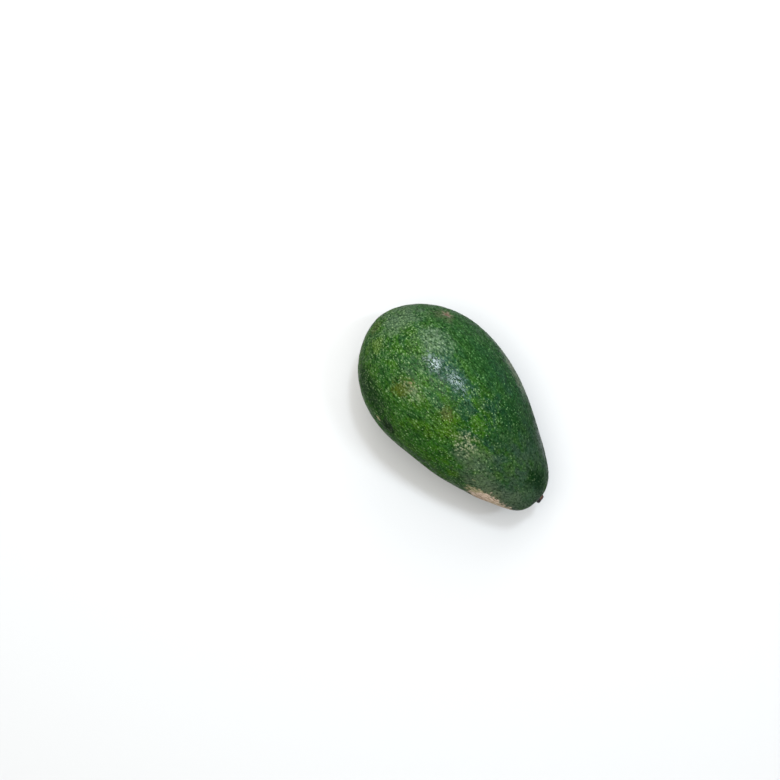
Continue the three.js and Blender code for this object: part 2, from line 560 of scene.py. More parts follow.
MARKS = (
    # Stains and painted light come first, because specks, wax and cork lie over them.
    # On the broad end's -Y side
    Mark(MarkKind.STAIN_AND_PAINTED_LIGHT, -0.50, 116, 6, 6, (0.070, 0.080, 0.006), 0.60, 1.2, 3),
    Mark(MarkKind.STAIN_AND_PAINTED_LIGHT, -0.86, 120, 5.5, 4.5, (0.066, 0.130, 0.010), 0.45, 1.2, 3),
    Mark(MarkKind.STAIN_AND_PAINTED_LIGHT, -0.965, 122, 5, 5, (0.058, 0.085, 0.006), 0.50, 1.0, 3),
    # Painted shadow on the -Y edge
    Mark(MarkKind.STAIN_AND_PAINTED_LIGHT, -0.30, 155, 7, 5, (0.002, 0.012, 0.001), 0.90, 0.8, 3),
    # Painted shade along the -Y edge, darkest at the very edge
    Mark(MarkKind.STAIN_AND_PAINTED_LIGHT, -0.66, 153, 26, 10, (0.003, 0.028, 0.001), 0.90, 0.8, 6),
    Mark(MarkKind.STAIN_AND_PAINTED_LIGHT, -0.57, 99, 8, 6, (0.012, 0.060, 0.014), 0.50, 1.1, 4),
    # On top of the broad end
    # Painted sheen: a greyish haze on top of the broad end
    Mark(MarkKind.STAIN_AND_PAINTED_LIGHT, -0.62, 68, 12, 9, (0.058, 0.105, 0.060), 0.60, 1.1, 5),
    Mark(MarkKind.STAIN_AND_PAINTED_LIGHT, -0.70, 33, 8, 7, (0.055, 0.072, 0.030), 0.65, 1.1, 3),
    Mark(MarkKind.STAIN_AND_PAINTED_LIGHT, -0.36, 79, 15, 8, (0.012, 0.055, 0.034), 0.75, 1.1, 4),
    # Painted sheen: a greyish haze near the broad end's tip
    Mark(MarkKind.STAIN_AND_PAINTED_LIGHT, -0.90, 66, 10, 14, (0.078, 0.128, 0.074), 0.65, 1.1, 5),
    # Round the middle
    Mark(MarkKind.STAIN_AND_PAINTED_LIGHT, -0.05, 110, 13, 8, (0.048, 0.118, 0.006), 0.45, 1.2, 4),
    Mark(MarkKind.STAIN_AND_PAINTED_LIGHT, -0.13, 102, 4.5, 3.5, (0.080, 0.070, 0.020), 0.50, 1.3, 2.5),
    Mark(MarkKind.STAIN_AND_PAINTED_LIGHT, 0.31, 111, 17, 9, (0.072, 0.108, 0.060), 0.60, 1.1, 5),
    Mark(MarkKind.STAIN_AND_PAINTED_LIGHT, -0.02, 138, 20, 7, (0.022, 0.100, 0.005), 0.50, 1.0, 5),
    Mark(MarkKind.STAIN_AND_PAINTED_LIGHT, 0.25, 60, 15, 9, (0.005, 0.036, 0.008), 0.60, 1.0, 5),
    Mark(MarkKind.STAIN_AND_PAINTED_LIGHT, 0.30, 80, 10, 7, (0.010, 0.046, 0.012), 0.60, 1.0, 4),
    # Painted reflection: a pale grey band along the +Y edge and the neck
    Mark(MarkKind.STAIN_AND_PAINTED_LIGHT, 0.03, 16, 26, 7.5, (0.105, 0.138, 0.108), 0.65, 1.1, 4),
    Mark(MarkKind.STAIN_AND_PAINTED_LIGHT, 0.60, 22, 20, 6.0, (0.085, 0.110, 0.095), 0.75, 1.0, 5),
    # On the neck
    # Painted shade on the shoulder beside the stalk
    Mark(MarkKind.STAIN_AND_PAINTED_LIGHT, 0.81, 66, 10, 7, (0.003, 0.018, 0.005), 0.90, 1.0, 4),
    Mark(MarkKind.STAIN_AND_PAINTED_LIGHT, 0.88, 100, 7, 8, (0.044, 0.080, 0.044), 0.60, 1.0, 4),
    Mark(MarkKind.STAIN_AND_PAINTED_LIGHT, 0.66, 143, 15, 8, (0.130, 0.140, 0.075), 0.65, 1.2, 3),
    Mark(MarkKind.STAIN_AND_PAINTED_LIGHT, 0.50, 127, 22, 8, (0.080, 0.112, 0.066), 0.70, 1.1, 5),
    Mark(MarkKind.STAIN_AND_PAINTED_LIGHT, 0.80, 122, 10, 8, (0.070, 0.098, 0.062), 0.65, 1.0, 4),
    # Out of sight
    Mark(MarkKind.STAIN_AND_PAINTED_LIGHT, 0.10, 320, 14, 9, (0.045, 0.085, 0.006), 0.6, 1.0, 6),
    Mark(MarkKind.STAIN_AND_PAINTED_LIGHT, -0.35, 250, 12, 12, (0.060, 0.095, 0.010), 0.6, 1.0, 6),
    # Crowds of specks
    Mark(MarkKind.SPECKS, 0.16, 107, 9.5, 6.5, (0.30, 0.31, 0.19), 0.95, 1.2, 3),
    Mark(MarkKind.SPECKS, -0.61, 66, 11, 7, (0.22, 0.30, 0.20), 0.60, 1.2, 4),
    Mark(MarkKind.SPECKS, -0.86, 120, 6, 4.5, (0.22, 0.32, 0.10), 0.45, 1.1, 3),
    # The two shiny patches of wax, with a painted highlight on their glints and painted shade between
    # them
    Mark(MarkKind.WAX_AND_PAINTED_HIGHLIGHT, -0.495, 83, 8.0, 3.8, (0.050, 0.105, 0.095), 0.95, 1.5, 3.0),
    Mark(MarkKind.WAX_AND_PAINTED_HIGHLIGHT, -0.27, 79, 13.0, 4.0, (0.022, 0.070, 0.055), 0.90, 2.0, 2.6),
    # The pale scuff on the broad end and the reddish specks beside it
    Mark(MarkKind.SPECKS, -0.42, 111, 10.0, 5.5, (0.25, 0.32, 0.17), 0.50, 1.4, 2.5),
    Mark(MarkKind.CORK, -0.42, 110, 8.0, 3.4, (0.27, 0.34, 0.18), 0.42, 1.8, 1.8),
    Mark(MarkKind.SPECKS, -0.49, 108, 4.0, 3.0, (0.18, 0.10, 0.06), 0.85, 1.5, 1.2),
    # The tan scuff along the neck's edge
    Mark(MarkKind.CORK, 0.57, 146, 9.0, 5.0, (0.38, 0.34, 0.20), 0.85, 1.1, 2.2),
    Mark(MarkKind.CORK, 0.68, 153, 12.0, 9.0, (0.58, 0.45, 0.34), 1.15, 0.8, 2.4),
    Mark(MarkKind.CORK, 0.80, 155, 9.5, 6.5, (0.60, 0.49, 0.36), 1.05, 0.9, 2.0),
    # Small streaks and a fleck
    Mark(MarkKind.CORK, 0.43, 130, 6.0, 0.9, (0.24, 0.26, 0.13), 0.60, 1.2, 1.5),
    Mark(MarkKind.CORK, -0.405, 161, 2.2, 1.5, (0.34, 0.33, 0.18), 0.95, 1.0, 1.2),
    Mark(MarkKind.CORK, 0.05, 19, 18.0, 6.5, (0.19, 0.21, 0.15), 0.55, 1.2, 2.0),
    Mark(MarkKind.CORK, 0.00, 17, 15.0, 0.8, (0.18, 0.16, 0.12), 0.75, 1.2, 1.6),
    # Plain wear out of sight
    Mark(MarkKind.CORK, 0.15, 255, 7.0, 3.0, (0.26, 0.24, 0.14), 0.75, 1.1, 2.6),
    Mark(MarkKind.CORK, -0.55, 330, 5.0, 2.4, (0.24, 0.24, 0.13), 0.7, 1.1, 2.2),
)


@dataclass(frozen=True)
class Zones:
    """How far each place on the skin is in one of the fruit's regions, from 0 to 1.

    Attributes:
        left: The -Y side.
        right: The +Y side, which gets a bluer tone and painted shade.
        flank: The steep part of the -Y side, which gets painted shade.
        blossom: The broad end.
        neck: The narrow end.
        crown: The top, which faces up.
    """

    left: Value
    right: Value
    flank: Value
    blossom: Value
    neck: Value
    crown: Value


@dataclass(frozen=True)
class Pattern:
    """The patterns that the skin's colour, shine and relief share.

    Attributes:
        place: Coordinates in mm.
        loose: The same, drawn out along the fruit and wandering a little.
        zones: The fruit's regions.
        pebble: How far each place is from its pebble's centre, in spacings.
        pebble_pick: A random number for each pebble.
        grain: How far each place is from its grain's centre, in spacings.
        grain_pick: A random number for each grain.
        fibres: Noise drawn out into short fibres.
        threads: Noise drawn out into long threads.
        grit: Noise that breaks up the shiny wax.
    """

    place: bpy.types.NodeSocket
    loose: bpy.types.NodeSocket
    zones: Zones
    pebble: Value
    pebble_pick: Value
    grain: Value
    grain_pick: Value
    fibres: Value
    threads: Value
    grit: Value


@dataclass(frozen=True)
class SkinFinish:
    """Dark green pebbled skin with pale specks and a faint wax sheen.

    Attributes:
        deep: Colour of the skin between its specks, also laid on the +Y side as painted shade.
        middle: Colour of its lighter clouds.
        yellow: Colour of its yellower clouds.
        teal: Colour of its bluer clouds, also laid over the +Y side as a bluer tone with painted shade.
        flank: Painted shade on the steep -Y side.
        bloom: Colour of the greyish wax film.
        speck: Colour of the specks.
        green_speck: Colour of the specks on the +Y side.
        valley_shade: Painted shade in the fine valleys between the pebbles and between the wax's glints.
        scar_arms: Colour of the blossom scar's arms.
        scar_heart: Colour of its middle.
        frayed: What the cork's colour is multiplied by between its threads.
        pebble_spacing: Distance between the pebbles that carry the specks, in mm.
        grain_spacing: Distance between the finer grains in mm.
        stretch: How much the pattern is drawn out along the fruit.
        pebble_depth: Height of those pebbles in mm.
        grain_depth: Height of the finer grains in mm.
        leather_depth: Height of the finest grain in mm.
        specular: How strongly the bare skin mirrors, which is hardly at all.
        wax_roughness: Roughness of the wax.
        wax_index: The wax's index of refraction.
    """

    deep: Colour = (0.006, 0.042, 0.001)
    middle: Colour = (0.027, 0.105, 0.006)
    yellow: Colour = (0.050, 0.125, 0.002)
    teal: Colour = (0.010, 0.046, 0.029)
    flank: Colour = (0.014, 0.078, 0.002)
    bloom: Colour = (0.031, 0.055, 0.034)
    speck: Colour = (0.310, 0.440, 0.210)
    green_speck: Colour = (0.130, 0.360, 0.110)
    valley_shade: Colour = (0.001, 0.010, 0.001)
    scar_arms: Colour = (0.18, 0.155, 0.105)
    scar_heart: Colour = (0.105, 0.050, 0.036)
    frayed: Colour = (0.52, 0.48, 0.42)
    pebble_spacing: float = 1.05
    grain_spacing: float = 0.7
    stretch: float = 1.5
    pebble_depth: float = 0.06
    grain_depth: float = 0.025
    leather_depth: float = 0.02
    specular: float = 0.012
    wax_roughness: float = 0.28
    wax_index: float = 1.45

    def mask(self, nodes: Nodes, place: object, form: BodyForm, mark: Mark) -> Value:
        """Gives how much of a mark shows at each place.

        Args:
            nodes: The material's nodes.
            place: Coordinates in mm.
            form: The fruit's form, which the mark lies on.
            mark: The mark.

        Returns:
            A mask from 0 to 1.
        """
        centre = form.place(mark.along, mark.angle) / MM
        offset = nodes.vector("SUBTRACT", place, tuple(centre))
        shape = nodes.vector("DIVIDE", offset, (mark.reach, mark.breadth, mark.breadth))
        far = nodes.measure("LENGTH", shape)
        torn = nodes.noise(place, mark.grain, 4.0, 0.7) - 0.5
        return (far + torn * (2 * mark.ragged)).ramp(1.1, 0.35)

    def scarred(
        self, nodes: Nodes, place: object, form: BodyForm, scar: BlossomScar, colour: object
    ) -> bpy.types.NodeSocket:
        """Lays the star-shaped corky blossom scar on the skin.

        Args:
            nodes: The material's nodes.
            place: Coordinates in mm.
            form: The fruit's form, which the scar lies on.
            scar: The scar.
            colour: The skin's colour under it.

        Returns:
            The colour's socket.
        """
        centre = form.place(scar.along, scar.angle) / MM
        middle = form.place(0.0, 0.0).lerp(form.place(0.0, 180.0), 0.5) / MM
        outward = (centre - middle).normalized()
        offset = nodes.vector("SUBTRACT", place, tuple(centre))
        side = outward.orthogonal().normalized()
        east = nodes.measure("DOT_PRODUCT", offset, tuple(side))
        north = nodes.measure("DOT_PRODUCT", offset, tuple(outward.cross(side)))
        torn = nodes.noise(place, 1.3, 4.0, 0.7) - 0.5
        turn = (north.math("ARCTAN2", north, east) + torn) * scar.arms
        arms = turn.math("COSINE", turn)
        far = nodes.measure("LENGTH", offset) + torn * 2.0
        star = far.ramp(arms * 1.2 + 3.1, arms * 0.7 + 1.1)
        colour = nodes.blend(colour, self.scar_arms, star * 0.8)
        return nodes.blend(colour, self.scar_heart, far.ramp(2.0, 0.5) * 0.7)

    def zones(self, nodes: Nodes, place: object) -> Zones:
        """Splits the fruit into its softly bounded regions.

        Args:
            nodes: The material's nodes.
            place: Coordinates in mm.

        Returns:
            The regions.
        """
        parts = nodes.add("ShaderNodeSeparateXYZ", {}, {0: place})
        along, across, up = (Value(nodes, parts.outputs[i]) for i in range(3))
        wide = nodes.noise(place, 24.0, 3.0, 0.55) - 0.5
        return Zones(
            left=(across + wide * 24.0).ramp(4.0, -20.0),
            right=(across + wide * 24.0).ramp(4.0, 26.0),
            flank=(across + wide * 10.0).ramp(-20.0, -33.0),
            blossom=(along + wide * 30.0).ramp(16.0, -34.0),
            neck=(along + across * 0.25 + wide * 26.0).ramp(12.0, 42.0),
            crown=up.ramp(46.0, 62.0),
        )

    def pattern(self, nodes: Nodes) -> Pattern:
        """Makes the patterns that colour, shine and relief share.

        Args:
            nodes: The material's nodes.

        Returns:
            The patterns.
        """
        place = nodes.position()
        drawn = nodes.vector("DIVIDE", place, (self.stretch, 1.0, 1.0))
        loose = nodes.wander(drawn, 4.0, 0.5)
        pebble, pebble_pick = nodes.cells(loose, self.pebble_spacing)
        grain, grain_pick = nodes.cells(loose, self.grain_spacing)
        return Pattern(
            place=place,
            loose=loose,
            zones=self.zones(nodes, place),
            pebble=pebble,
            pebble_pick=pebble_pick,
            grain=grain,
            grain_pick=grain_pick,
            fibres=nodes.noise(nodes.vector("DIVIDE", place, (2.2, 1.0, 1.0)), 1.1, 4.0, 0.75),
            threads=nodes.noise(nodes.vector("DIVIDE", place, (5.0, 1.0, 1.0)), 1.1, 4.0, 0.7),
            grit=nodes.noise(drawn, 1.0, 3.0, 0.7),
        )

    def base_colour(self, nodes: Nodes, pattern: Pattern) -> bpy.types.NodeSocket:
        """Mixes the skin's own greens, cloud by cloud.

        Args:
            nodes: The material's nodes.
            pattern: The skin's patterns.

        Returns:
            The colour's socket.
        """
        zones = pattern.zones
        drawn = nodes.vector("DIVIDE", pattern.place, (2.0, 1.0, 1.0))
        clouds = nodes.noise(drawn, 6.0, 5.0, 0.7)
        colour = nodes.blend(self.deep, self.middle, clouds.ramp(0.34, 0.62))
        hue = nodes.noise(nodes.vector("ADD", drawn, (70.0, 0.0, 0.0)), 6.0, 4.0, 0.65)
        colour = nodes.blend(colour, self.yellow, hue.ramp(0.50, 0.62) * (0.35 + zones.left * 0.3))
        colour = nodes.blend(colour, self.teal, hue.ramp(0.54, 0.40) * (1.0 - zones.left * 0.6) * 0.8)
        # A bluer tone with painted shade on the +Y side
        colour = nodes.blend(colour, self.teal, zones.right * 0.70)
        film = nodes.noise(nodes.vector("ADD", drawn, (0.0, 90.0, 0.0)), 5.0, 5.0, 0.7)
        waxy = film.ramp(0.44, 0.60)
        top = 1.0 - zones.left.at_least(zones.right) * 0.6
        colour = nodes.blend(colour, self.bloom, waxy * top * 0.25)
        colour = nodes.blend(colour, self.middle, zones.blossom * 0.35)
        colour = nodes.blend(colour, self.bloom, zones.blossom * 0.12)
        # Painted shade on the steep -Y side
        colour = nodes.blend(colour, self.flank, zones.flank * 0.6)
        colour = nodes.blend(colour, self.bloom, (waxy * 0.3 + 0.58) * zones.neck)
        dark = film.ramp(0.46, 0.36) * zones.neck * 0.7
        # Darker patches on the neck, with painted shade on the +Y side
        return nodes.blend(colour, self.deep, dark.at_least(zones.right * 0.35))

    def speckled(self, nodes: Nodes, pattern: Pattern, colour: object) -> bpy.types.NodeSocket:
        """Lays painted shade in the valleys, the pale streaks and the pale specks over the skin's
        greens.

        Args:
            nodes: The material's nodes.
            pattern: The skin's patterns.
            colour: The skin's greens.

        Returns:
            The colour's socket.
        """
        zones = pattern.zones
        crowded = (1.0 - zones.neck * 0.75) * (1.0 - (zones.right + zones.flank) * 0.35)
        fine = nodes.noise(nodes.vector("DIVIDE", pattern.place, (2.0, 1.0, 1.0)), 0.9, 3.0, 0.7)
        # Painted shade in the fine valleys and round the pebbles' edges
        colour = nodes.blend(colour, self.valley_shade, fine.ramp(0.50, 0.34) * 0.8)
        colour = nodes.blend(colour, self.valley_shade, pattern.pebble.ramp(0.45, 0.8) * 0.4)
        speck = nodes.blend(self.speck, self.green_speck, zones.right * 0.8)
        lit = nodes.blend(colour, speck, 0.75)
        streaks = fine.ramp(0.54, 0.70) * (0.15 + zones.blossom * 0.30)
        colour = nodes.blend(colour, lit, streaks * crowded)
        patchy = nodes.noise(pattern.place, 5.0, 3.0).ramp(0.38, 0.62, 0.45, 1.0)
        size = pattern.pebble_pick.ramp(0.0, 1.0, 0.22, 0.38)
        specks = pattern.pebble.ramp(size, size * 0.3) * pattern.pebble_pick.ramp(0.0, 1.0, 0.25, 1.0)
        colour = nodes.blend(colour, lit, specks * patchy * crowded)
        dots = pattern.grain.ramp(0.38, 0.10) * pattern.grain_pick.ramp(0.35, 1.0)
        return nodes.blend(colour, lit, dots * patchy * crowded * 0.7)

    def marked(
        self, nodes: Nodes, pattern: Pattern, masks: list[tuple[Mark, Value]], colour: object
    ) -> tuple[bpy.types.NodeSocket, Value, Value]:
        """Lays the crowds of specks, the wax with its painted highlight and painted shade, and the cork
        over the speckled skin.

        Args:
            nodes: The material's nodes.
            pattern: The skin's patterns.
            masks: Each mark with how much of it shows.
            colour: The speckled skin's colour.

        Returns:
            The colour's socket, where there is cork, and where there is wax.
        """
        crowd = pattern.pebble.ramp(0.70, 0.15) * pattern.grain.ramp(0.75, 0.2, 0.35, 1.0)
        corks, waxes = [], []
        for mark, mask in masks:
            if mark.kind is MarkKind.SPECKS:
                colour = nodes.blend(colour, mark.colour, mask * crowd)
            elif mark.kind is MarkKind.WAX_AND_PAINTED_HIGHLIGHT:
                waxes.append(mask)
                # Painted shade in the gaps between the wax's glints, and a painted bluish highlight on
                # them
                creases = mask * pattern.grit.ramp(0.50, 0.42, 0.0, 0.6)
                colour = nodes.blend(colour, self.valley_shade, creases)
                colour = nodes.blend(colour, mark.colour, mask * pattern.grit.ramp(0.48, 0.58, 0.1, 0.8))
            elif mark.kind is MarkKind.CORK:
                worn = (mask * 1.5 + pattern.threads * 1.3 + pattern.fibres * 0.5).ramp(1.2, 2.4)
                corks.append(worn)
                frayed = tuple(part * shade for part, shade in zip(mark.colour, self.frayed))
                tone = nodes.blend(frayed, mark.colour, pattern.threads.ramp(0.40, 0.56))
                colour = nodes.blend(colour, tone, worn)
        return colour, reduce(Value.at_least, corks), reduce(Value.at_least, waxes)

    def shine(self, nodes: Nodes, pattern: Pattern, cork: Value, wax: Value) -> None:
        """Makes the skin dull, with a faint sheen on top and shine where the wax is rubbed.

        Args:
            nodes: The material's nodes.
            pattern: The skin's patterns.
            cork: Where there is cork.
            wax: Where the wax is rubbed.
        """
        smear = nodes.noise(pattern.place, 3.0, 4.0, 0.7).ramp(0.44, 0.54, 0.26, 0.56)
        sheen = pattern.zones.crown * smear.ramp(0.50, 0.30, 0.05, 0.20)
        inputs = nodes.shader.inputs
        nodes.feed(inputs["Roughness"], smear + cork * 0.3)
        nodes.feed(inputs["Coat Weight"], (sheen + wax * pattern.grit.ramp(0.49, 0.55)) * (1.0 - cork))
        inputs["Specular IOR Level"].default_value = self.specular
        inputs["Coat Roughness"].default_value = self.wax_roughness
        inputs["Coat IOR"].default_value = self.wax_index

    def relief(self, nodes: Nodes, pattern: Pattern, cork: Value) -> None:
        """Raises the finest pebbles and grains, and the cork's fibres.

        Args:
            nodes: The material's nodes.
            pattern: The skin's patterns.
            cork: Where there is cork.
        """
        domes = pattern.pebble.ramp(0.75, 0.05) * (1.0 - cork * 0.7)
        normal = nodes.bump(domes, self.pebble_depth)
        normal = nodes.bump(pattern.grain.ramp(0.8, 0.1), self.grain_depth, normal)
        leather = nodes.noise(pattern.loose, 0.5, 2.0, 0.6) + cork * pattern.fibres * 3.0
        nodes.feed(nodes.shader.inputs["Normal"], nodes.bump(leather, self.leather_depth, normal))

    def dress(self, piece: bpy.types.Object, form: BodyForm, scar: BlossomScar) -> None:
        """Gives the skin to a piece.

        Args:
            piece: The fruit's mesh object.
            form: The fruit's form, which the marks lie on.
            scar: The blossom scar.
        """
        nodes = Nodes("skin")
        pattern = self.pattern(nodes)
        masks = [(mark, self.mask(nodes, pattern.place, form, mark) * mark.strength) for mark in MARKS]
        colour = self.base_colour(nodes, pattern)
        for mark, mask in masks:
            if mark.kind is MarkKind.STAIN_AND_PAINTED_LIGHT:
                colour = nodes.blend(colour, mark.colour, mask)
        colour = self.speckled(nodes, pattern, colour)
        colour, cork, wax = self.marked(nodes, pattern, masks, colour)
        colour = self.scarred(nodes, pattern.place, form, scar, colour)
        nodes.feed(nodes.shader.inputs["Base Color"], colour)
        self.shine(nodes, pattern, cork, wax)
        self.relief(nodes, pattern, cork)
        piece.data.materials.append(nodes.material)


@dataclass(frozen=True)
class StalkFinish:
    """Dried stalk: reddish-brown bark, paler scales, a nearly black broken tip and painted shade down
    one side.

    Attributes:
        bark: Colour of the bark.
        scale: Colour of its lifted scales.
        pit: Colour of the pits between the scales.
        tip: Colour of the broken tip, also laid down one side of the stub as painted shade.
        tip_from: Height above the stub's bottom where the tip starts, in mm.
        crumb: Size of the bark's crumbs in mm.
        crumb_depth: Their height in mm.
    """

    bark: Colour = (0.115, 0.042, 0.024)
    scale: Colour = (0.26, 0.13, 0.08)
    pit: Colour = (0.020, 0.010, 0.007)
    tip: Colour = (0.010, 0.006, 0.006)
    tip_from: float = 3.7
    crumb: float = 0.9
    crumb_depth: float = 0.35

    def dress(self, piece: bpy.types.Object, seat: Matrix) -> None:
        """Gives the finish to a piece.

        Args:
            piece: The stub's mesh object.
            seat: The move from an upright stub in mm to its place in metres.
        """
        nodes = Nodes("stalk")
        place = nodes.position()
        axis = (seat.to_3x3() @ Vector((0, 0, 1))).normalized()
        side = axis.cross(Vector((0, 0, 1))).normalized()
        offset = nodes.vector("SUBTRACT", place, tuple(seat.translation / MM))
        height = nodes.measure("DOT_PRODUCT", offset, tuple(axis))
        shaded = nodes.measure("DOT_PRODUCT", offset, tuple(side))
        crumbs = nodes.noise(place, self.crumb, 4.0, 0.7)
        colour = nodes.blend(self.bark, self.scale, crumbs.ramp(0.52, 0.72))
        colour = nodes.blend(colour, self.pit, crumbs.ramp(0.46, 0.30) * 0.8)
        broken = (height + crumbs * 1.2 - 0.6).ramp(self.tip_from - 0.5, self.tip_from + 0.4)
        # The tip's near-black colour also goes down one side of the stub as painted shade
        colour = nodes.blend(colour, self.tip, broken.at_least((shaded + crumbs).ramp(0.0, 1.0)))
        nodes.feed(nodes.shader.inputs["Base Color"], colour)
        nodes.feed(nodes.shader.inputs["Roughness"], crumbs.ramp(0.3, 0.7, 0.7, 0.95))
        nodes.feed(nodes.shader.inputs["Normal"], nodes.bump(crumbs, self.crumb_depth))
        piece.data.materials.append(nodes.material)


# The two pieces


@dataclass
class Fruit:
    """The whole fruit with its pebbled skin.

    Attributes:
        form: The smooth outline.
        seat: Where the stalk grows.
        scar: The blossom scar.
        finish: The skin's looks.
        swellings: Its wide swellings and hollows.
        cuts: How often each edge of the starting cube is cut.
        ridge_count: How many soft ridges run out of the stem end.
        ridge_height: Their height in mm.
        ridge_turn: Where the first one is, in radians.
        uneven: Height in mm and waves per mm of the slow unevenness.
        pebble_count: How many pebbles the skin has.
        pebble_height: The pebbles' height in mm.
        pebble_valley: Width of the valleys between them in mm.
        pebble_stray: How far a pebble strays from the even pattern, in steps of it.
        pebble_patches: How many patches of lower and higher pebbles there are per mm.
        skin_lift: How far the skin lies above the smooth outline in mm.
        funnel_reach: Radius of the shallow funnel round the stalk in mm.
        funnel_depth: Its depth in mm.
        funnel_calm: How much lower the pebbles are in its middle, as a share.
        pocket_reach: Radius of the pocket that holds the stub in mm.
        pocket_depth: Its depth in mm.
        pocket_edge: Half the width of its rounded edge in mm.
        flat_soften: Height over which the belly rounds off to its flat spot, in mm.
    """

    form: BodyForm
    seat: StemSeat
    scar: BlossomScar
    finish: SkinFinish = SkinFinish()
    swellings: tuple[Swelling, ...] = (
        Swelling(0.6, 212, 12, 0.45),
        Swelling(0.84, 182, 15, -1.2),
        Swelling(0.03, 176, 22, -0.9),
        Swelling(0.05, 35, 17, -0.55),
        Swelling(-0.45, 150, 18, -0.5),
        Swelling(0.4, 120, 15, 0.45),
        Swelling(-0.3, 300, 20, 0.5),
        Swelling(0.25, 265, 14, -0.4),
    )
    cuts: int = 127
    ridge_count: int = 5
    ridge_height: float = 0.35
    ridge_turn: float = 0.9
    uneven: tuple[tuple[float, float], ...] = ((0.12, 0.11), (0.05, 0.31))
    pebble_count: int = 6000
    pebble_height: float = 0.09
    pebble_valley: float = 0.55
    pebble_stray: float = 0.42
    pebble_patches: float = 0.07
    skin_lift: float = 0.06
    funnel_reach: float = 8.0
    funnel_depth: float = 1.6
    funnel_calm: float = 0.7
    pocket_reach: float = 3.3
    pocket_depth: float = 1.8
    pocket_edge: float = 0.45
    flat_soften: float = 0.25

    def build(self) -> bpy.types.Object:
        """Builds the fruit from a finely cut cube blown up into its form, and dresses it."""
        bm = bmesh.new()
        bmesh.ops.create_cube(bm, size=2.0)
        bmesh.ops.subdivide_edges(bm, edges=bm.edges[:], cuts=self.cuts, use_grid_fill=True)
        directions = []
        for vert in bm.verts:
            even = Vector(math.tan(math.pi / 4 * part) for part in vert.co)
            directions.append(even.normalized())
            vert.co = self.form.point(directions[-1])
        bm.normal_update()
        self.raise_relief(bm, directions)
        bmesh.ops.transform(bm, matrix=self.form.lying(), verts=bm.verts)
        for vert in bm.verts:
            vert.co.z = self.settle(vert.co.z / MM) * MM
        fruit = finished_object("avocado_fruit", bm)
        self.finish.dress(fruit, self.form, self.scar)
        return fruit

    def settle(self, height: float) -> float:
        """Presses what reaches below the surface flat, with a soft edge.

        Args:
            height: Height above the surface in mm.

        Returns:
            The height that is left, at least 0.
        """
        soft = self.flat_soften
        if height >= soft:
            return height
        return (height + soft) ** 2 / (4 * soft) if height > -soft else 0.0

    def raise_relief(self, bm: bmesh.types.BMesh, directions: list[Vector]) -> None:
        """Moves each point of the smooth body out or in along its normal.

        Args:
            bm: The smooth body with its normals.
            directions: The direction from the centre of each point.
        """
        pebbles, heights = self.scatter_pebbles()
        bumps = [(self.form.on_body(each.along, each.angle), each) for each in self.swellings]
        scar = self.form.on_body(self.scar.along, self.scar.angle)
        stalk, axis = self.seat.point(self.form), self.seat.axis()
        for vert, direction in zip(bm.verts, directions):
            point = vert.co.copy()
            across = point - stalk
            across -= axis * across.dot(axis)
            near = across.length if point.x > 0 else math.inf
            funnel = falloff(near, self.funnel_reach)
            pocket = smoothstep(
                self.pocket_reach + self.pocket_edge, self.pocket_reach - self.pocket_edge, near
            )
            height = self.skin_lift + self.broad_relief(point, direction, bumps)
            height -= self.scar.depth * falloff((point - scar).length, self.scar.reach)
            height += self.pebble_relief(point, pebbles, heights) * (1 - self.funnel_calm * funnel)
            vert.co = point + vert.normal * height
            vert.co -= axis * (self.funnel_depth * funnel + self.pocket_depth * pocket)

    def broad_relief(
        self, point: Vector, direction: Vector, bumps: list[tuple[Vector, Swelling]]
    ) -> float:
        """Gives the height of everything much wider than a pebble.

        Args:
            point: The point on the smooth body in mm.
            direction: Its direction from the centre.
            bumps: Each swelling with its centre.

        Returns:
            The height in mm.
        """
        ring = math.hypot(direction.y, direction.z)
        turn = math.atan2(direction.z, direction.y)
        near_stem = smoothstep(0.1, 0.8, direction.x) * ring
        height = self.ridge_height * near_stem * math.cos(self.ridge_count * turn + self.ridge_turn)
        for centre, swelling in bumps:
            height += swelling.height * falloff((point - centre).length, swelling.reach)
        for wave_height, waves in self.uneven:
            height += wave_height * noise.noise(point * waves)
        return height

    def scatter_pebbles(self) -> tuple[kdtree.KDTree, list[float]]:
        """Scatters the pebbles in an uneven spiral over the body.

        Returns:
            Their centres, to be searched, and a height for each from about 0.4 to 1.
        """
        draw = random.Random(7)
        golden = math.degrees(math.pi * (3 - math.sqrt(5)))
        stray = self.pebble_stray * math.sqrt(4 * math.pi / self.pebble_count)
        tree, heights = kdtree.KDTree(self.pebble_count), []
        for i in range(self.pebble_count):
            direction = self.form.direction(1 - (2 * i + 1) / self.pebble_count, golden * i)
            direction += Vector(draw.uniform(-stray, stray) for _ in range(3))
            tree.insert(self.form.point(direction.normalized()), i)
            heights.append(draw.uniform(0.4, 1.0))
        tree.balance()
        return tree, heights

    def pebble_relief(self, point: Vector, pebbles: kdtree.KDTree, heights: list[float]) -> float:
        """Gives the height of the pebbled skin: rounded pebbles with valleys between them.

        Args:
            point: The point on the smooth body in mm.
            pebbles: The pebbles' centres.
            heights: The pebbles' own heights.

        Returns:
            The height in mm.
        """
        (_, first, near), (_, _, next_near) = pebbles.find_n(point, 2)
        rounded = 1 - math.exp(-(next_near - near) / self.pebble_valley)
        patch = 0.75 + 0.5 * noise.noise(point * self.pebble_patches)
        return self.pebble_height * heights[first] * rounded * patch


